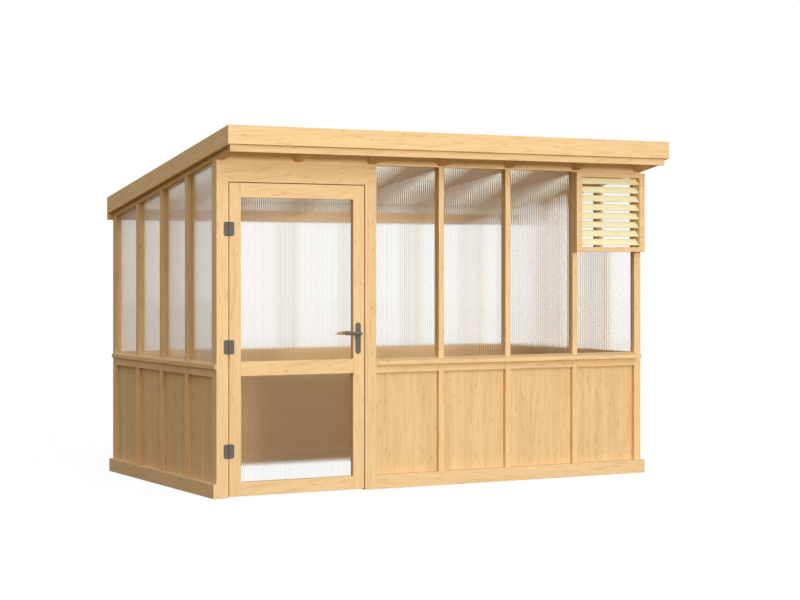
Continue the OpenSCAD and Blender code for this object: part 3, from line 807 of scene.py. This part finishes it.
def plate_screws():
    """A screw near each end of the outer and of the inner plate."""
    count = 0
    for side, plate in enumerate(solids_of("handle_plates")):
        low, high = low_corner(plate), high_corner(plate)
        plate.free()
        face_y, out = (low.y, -1) if side == 0 else (high.y, 1)
        places = [Vector(((low.x + high.x) / 2, face_y, z))
                  for z in (low.z + PLATE_SCREW_INSET, high.z - PLATE_SCREW_INSET)]
        count += screw_heads("handle_plate_screws_%d" % side, body_of["handle_plates"], places,
                             Vector((0, out, 0)), PLATE_SCREW_RADIUS, dark_paint)
    return count


print("hinge screws:", leaf_screws("hinge_jamb_leaves", body_of["hinge_jamb_leaves"]),
      leaf_screws("hinge_door_leaves", body_of["hinge_door_leaves"]))
print("plate screws:", plate_screws())

# %% [markdown]
# ## Levers
# A lever is a cast bar: an oval section that swells at the grip, arches a little and droops at
# its tip. A curve with a bevel would keep one shape of section all along, so the bar is swept
# ring by ring along the CAD lever instead, on the same spindle and necks.
# Each row of the shape is one ring: how far along it stands, its depth and its height as shares
# of the grip's radius, and how far it rises in millimetres. Behind the hub, the first number
# counts in grip radii, and beyond it in parts of the way to the tip, which is the last row's.

# %% Lever pieces
GRIP = 9 * MM
LEVER_SHAPE = [(-1.0, 0.5, 0.55, 0.0), (-0.6, 0.85, 1.02, 0.0), (0.0, 1.0, 1.22, 0.0),
               (1.5, 1.0, 1.25, 0.5), (3.0, 1.0, 1.22, 1.2), (5.0, 0.95, 1.22, 1.6),
               (7.0, 0.9, 1.18, 1.2), (9.0, 0.85, 1.08, 0.0), (10.5, 0.8, 0.95, -1.2),
               (11.6, 0.72, 0.8, -2.2), (12.2, 0.58, 0.6, -2.8), (12.5, 0.3, 0.3, -3.1)]
LEVER_TIP = LEVER_SHAPE[-1][0]
NECK_START, NECK_SHAPE = 20 * MM, [(0.0, 8 * MM), (0.35, 7.6 * MM), (0.7, 7.6 * MM), (1.0, 8.4 * MM)]
SPINDLE_END, SPINDLE_RADIUS = 22 * MM, 4 * MM
SMOOTH_ANGLE = math.radians(40)
BAR_SIDES, PIN_SIDES = 24, 28


def closed_bar(rings):
    """A bar through rings of points, closed at both ends."""
    bm = bmesh.new()
    loops = [[bm.verts.new(point) for point in ring] for ring in rings]
    skin_between(bm, loops)
    bm.faces.new(list(reversed(loops[0])))
    bm.faces.new(loops[-1])
    bmesh.ops.recalc_face_normals(bm, faces=bm.faces)
    return bm


def oval_ring(middle, half_deep, half_tall):
    """A ring across the lever's length."""
    return [middle + Vector((0, half_deep * math.cos(a), half_tall * math.sin(a)))
            for a in round_angles(BAR_SIDES)]


def turned_pin(start, end, profile):
    """A round pin along Y, through pairs of a share of its length and a radius."""
    return closed_bar([[start.lerp(end, share) + Vector((radius * math.cos(a), 0, radius * math.sin(a)))
                        for a in round_angles(PIN_SIDES)] for share, radius in profile])


def lever_pieces():
    """The outer and the inner lever and the spindle between them. Gives the lever's length."""
    whole = solids_of("lever_set")[0]
    low, high = low_corner(whole), high_corner(whole)
    whole.free()
    hub = Vector((high.x - GRIP, (low.y + high.y) / 2, (low.z + high.z) / 2))
    length = hub.x - low.x

    def on_axis(y):
        return Vector((hub.x, y, hub.z))

    for name, face_y, out_y, material, slot in (
            ("lever_outside", hub.y - NECK_START, low.y + GRIP, dark_paint, "dark_metal"),
            ("lever_inside", hub.y + NECK_START, high.y - GRIP, brass, "brass")):
        rings = []
        for along, deep, tall, rise in LEVER_SHAPE:
            x = hub.x - along / LEVER_TIP * length if along > 0 else hub.x - along * GRIP
            rings.append(oval_ring(Vector((x, out_y, hub.z + rise * MM)), GRIP * deep, GRIP * tall))
        neck = turned_pin(on_axis(face_y), on_axis(out_y), NECK_SHAPE)
        mesh = join([closed_bar(rings), neck], name)
        mesh.materials.append(material)
        for polygon in mesh.polygons:
            polygon.use_smooth = True
        mesh.set_sharp_from_angle(angle=SMOOTH_ANGLE)
        piece = new_piece(name, mesh, body_of["lever_set"])
        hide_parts("lever_set")
    spindle = mesh_from(turned_pin(on_axis(hub.y - SPINDLE_END), on_axis(hub.y + SPINDLE_END),
                                   [(0.0, SPINDLE_RADIUS), (1.0, SPINDLE_RADIUS)]), "spindle")
    spindle.materials.append(screw_steel)
    new_piece("spindle", spindle, body_of["lever_set"])
    return round(length, 3)


print("lever length:", lever_pieces())

# %% [markdown]
# ## Roof bar screws
# Each roof bar is screwed down through the gap between the sheets, or through the sheet into
# its rafter. The screws stand square to the slope, which is read from the bar's top edge.

# %% Roof screws
BAR_SCREWS = 6
FIRST_SCREW, SCREW_SPAN = 0.04, 0.92
BAR_SCREW_RADIUS = 5 * MM


def roof_bar_screws():
    """A row of screws down the middle of each bar. Gives their number."""
    places = []
    for bar in solids_of("roof_bars"):
        middle = (low_corner(bar) + high_corner(bar)) / 2
        front = max(bar.verts, key=lambda v: v.co.z).co.copy()
        far = [v.co for v in bar.verts if abs(v.co.x - front.x) < MM and v.co.y > middle.y]
        back = max(far, key=lambda c: c.z).copy()
        bar.free()
        slope = (back - front).normalized()
        for i in range(BAR_SCREWS):
            p = front.lerp(back, FIRST_SCREW + SCREW_SPAN * i / (BAR_SCREWS - 1))
            places.append(Vector((middle.x, p.y, p.z)))
    out = Vector((0, -slope.z, slope.y)).normalized()
    return screw_heads("roof_screws", body_of["roof_bars"], places, out, BAR_SCREW_RADIUS,
                       screw_steel)


print("roof screws:", roof_bar_screws())

# %% [markdown]
# ## Floor
# The building stands on a plain pale floor that shows its shadow faintly. A plain white floor
# would throw much light up under the eave and into the room. So this one is white only to the
# eye and through the sheets: there most of its white is a glow of its own, and the small rest
# takes the shadow. To bounced light it is a dull ground, and the room keeps its warm shade.

# %% Lay the floor
FLOOR_HALF_WIDTH = 60.0
FLOOR_DROP = 0.5 * MM
FLOOR_SEEN, FLOOR_BOUNCE = (0.9, 0.9, 0.9), (0.25, 0.17, 0.05)
FLOOR_GLOW, GLOW_STRENGTH = 0.92, 1.03


def floor_material():
    material, s, surface = blank_material("pale floor")
    ray = s.node("ShaderNodeLightPath").outputs
    seen = s.math("MAXIMUM", ray["Is Camera Ray"], ray["Is Transmission Ray"])
    colour = s.blend(seen, (*FLOOR_BOUNCE, 1), (*FLOOR_SEEN, 1))
    plain = s.node("ShaderNodeBsdfDiffuse", {"Color": colour})
    glow = s.node("ShaderNodeEmission", {"Color": (1, 1, 1, 1), "Strength": GLOW_STRENGTH})
    share = s.math("MULTIPLY", seen, FLOOR_GLOW)
    both = s.node("ShaderNodeMixShader", {0: share, 1: plain.outputs[0], 2: glow.outputs[0]})
    s.put(both.outputs[0], surface)
    return material


floor_bm = bmesh.new()
bmesh.ops.create_grid(floor_bm, x_segments=1, y_segments=1, size=FLOOR_HALF_WIDTH)
floor_mesh = mesh_from(floor_bm, "floor")
floor_mesh.materials.append(floor_material())
floor = bpy.data.objects.new("floor", floor_mesh)
floor.location = (0, 0, -FLOOR_DROP)
bpy.context.scene.collection.objects.link(floor)
print("floor laid")

# %% [markdown]
# ## Sky
# A studio gives soft light from all round, a little more from above than from the sides. A sky
# that grows brighter towards the top does that with no lamp. What is seen of it, straight, in a
# gloss or through a sheet, is plain white, so the backdrop stays white at any strength of light.

# %% Graded sky
SKY_SIDE, SKY_TOP = 0.44, 0.75

world = bpy.data.worlds.new("studio")
bpy.context.scene.world = world
world.use_nodes = True
world.node_tree.nodes.clear()
sky = Steps(world.node_tree)
ray = sky.node("ShaderNodeLightPath").outputs
mirrored = sky.math("MAXIMUM", ray["Is Glossy Ray"], ray["Is Transmission Ray"])
seen = sky.math("MAXIMUM", ray["Is Camera Ray"], mirrored)
direction = sky.node("ShaderNodeTexCoord").outputs["Generated"]
upward = sky.node("ShaderNodeSeparateXYZ", {"Vector": direction}).outputs["Z"]
strength = sky.ramp(upward, 0.0, 1.0, SKY_SIDE, SKY_TOP)
fill = sky.node("ShaderNodeBackground", {"Color": (1, 1, 1, 1), "Strength": strength})
white = sky.node("ShaderNodeBackground", {"Color": (1, 1, 1, 1), "Strength": 1.0})
both = sky.node("ShaderNodeMixShader", {0: seen, 1: fill.outputs[0], 2: white.outputs[0]})
sky.put(both.outputs[0], world.node_tree.nodes.new("ShaderNodeOutputWorld").inputs["Surface"])
print("sky from", SKY_SIDE, "at the side to", SKY_TOP, "at the top")

# %% [markdown]
# ## Sun and lamp
# Two lights shape the building. A strong soft sun stands almost level in front of it: it makes
# the front the brightest side, leaves the left wall in mild shade, and reaches the back wall
# above the sills, but not the boards below them. A weaker broad lamp high before the front wall
# draws the shade under the eave. A single light could not do both, since one that is low enough
# to cross the room draws no shade under the eave. Neither shows as a glare in the sheets.

# %% Light the building
SUN_POWER, SUN_SPREAD, SUN_HEIGHT, SUN_TURN = 1.55, 8, 5, 4
LAMP_POWER, LAMP_SIZE, LAMP_PLACE = 215.0, (6.0, 4.0), (-1.6, -8.2, 5.6)
LAMP_TARGET = Vector((0.0, -1.0, 1.2))

sun_data = bpy.data.lights.new("soft sun", "SUN")
sun_data.energy = SUN_POWER
sun_data.angle = math.radians(SUN_SPREAD)
sun = bpy.data.objects.new("soft sun", sun_data)
height, turn = math.radians(SUN_HEIGHT), math.radians(SUN_TURN)
toward_sun = Vector((math.sin(turn) * math.cos(height), -math.cos(turn) * math.cos(height), math.sin(height)))
sun.rotation_euler = toward_sun.to_track_quat("Z", "Y").to_euler()

lamp_data = bpy.data.lights.new("front lamp", "AREA")
lamp_data.shape = "RECTANGLE"
lamp_data.size, lamp_data.size_y = LAMP_SIZE
lamp_data.energy = LAMP_POWER
lamp = bpy.data.objects.new("front lamp", lamp_data)
lamp.location = LAMP_PLACE
lamp.rotation_euler = (LAMP_TARGET - lamp.location).to_track_quat("-Z", "Y").to_euler()
lamp.visible_camera = False

for light in (sun, lamp):
    light.visible_glossy = False
    light.visible_transmission = False
    bpy.context.scene.collection.objects.link(light)
print("sun from", [round(c, 2) for c in toward_sun], "lamp at", LAMP_PLACE)

# %% [markdown]
# ## Camera
# The camera stands to the left of the front, at about the height of a person's chest, and looks
# level, so that the posts stay upright and parallel. Tilting it would bring the building to the
# middle but lean the posts together, so the lens is shifted instead, as on an architect's camera.

# %% Camera
SENSOR_WIDTH, LENS, LENS_SHIFT = 36.0, 85.13, -0.0383
CAMERA_PLACE, CAMERA_TURN = (-6.049, -11.336, 1.385), -28.557
CAMERA_REACH = 200.0

camera_data = bpy.data.cameras.new("camera")
camera_data.sensor_width = SENSOR_WIDTH
camera_data.lens = LENS
camera_data.shift_y = LENS_SHIFT
camera_data.clip_end = CAMERA_REACH
camera = bpy.data.objects.new("camera", camera_data)
camera.location = CAMERA_PLACE
camera.rotation_euler = (math.radians(90), 0, math.radians(CAMERA_TURN))
bpy.context.scene.collection.objects.link(camera)
bpy.context.scene.camera = camera
bpy.context.scene.view_settings.view_transform = "Standard"
print("camera at", CAMERA_PLACE, "turned", CAMERA_TURN, "degrees")

# %% [markdown]

import json
